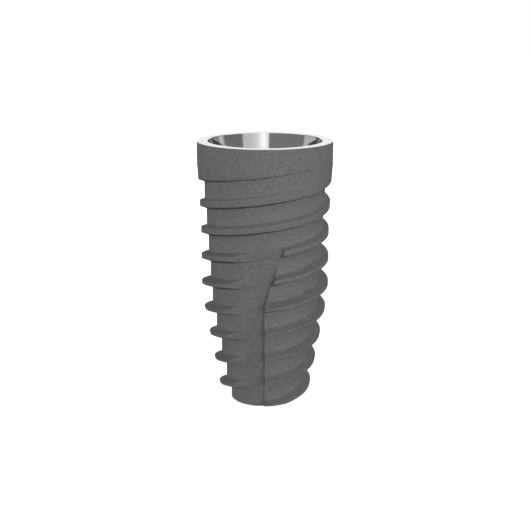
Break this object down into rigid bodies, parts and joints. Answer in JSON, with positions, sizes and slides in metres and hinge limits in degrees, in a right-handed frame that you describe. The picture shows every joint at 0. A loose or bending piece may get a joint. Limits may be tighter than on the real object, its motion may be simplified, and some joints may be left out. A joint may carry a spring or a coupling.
{
  "type": "dental implant",
  "caption": "Tapered screw-shaped dental implant with a helical thread, cutting flutes, a plain collar and a hollow platform that takes an abutment.",
  "frame": {"origin": "centre of the flat apex, the implant's lowest face", "axes": "+Z along the implant's axis from the apex to the platform, -Y the side that the picture shows, with the wall of a cutting flute at azimuth 0"},
  "size_m": [0.004, 0.004, 0.0079],
  "materials": {
    "blasted_titanium": "grit-blasted matt grey titanium outside, polished on the platform and in the connection"
  },
  "bodies": {
    "root": {"implant_body": "blasted_titanium"}
  },
  "joints": []
}
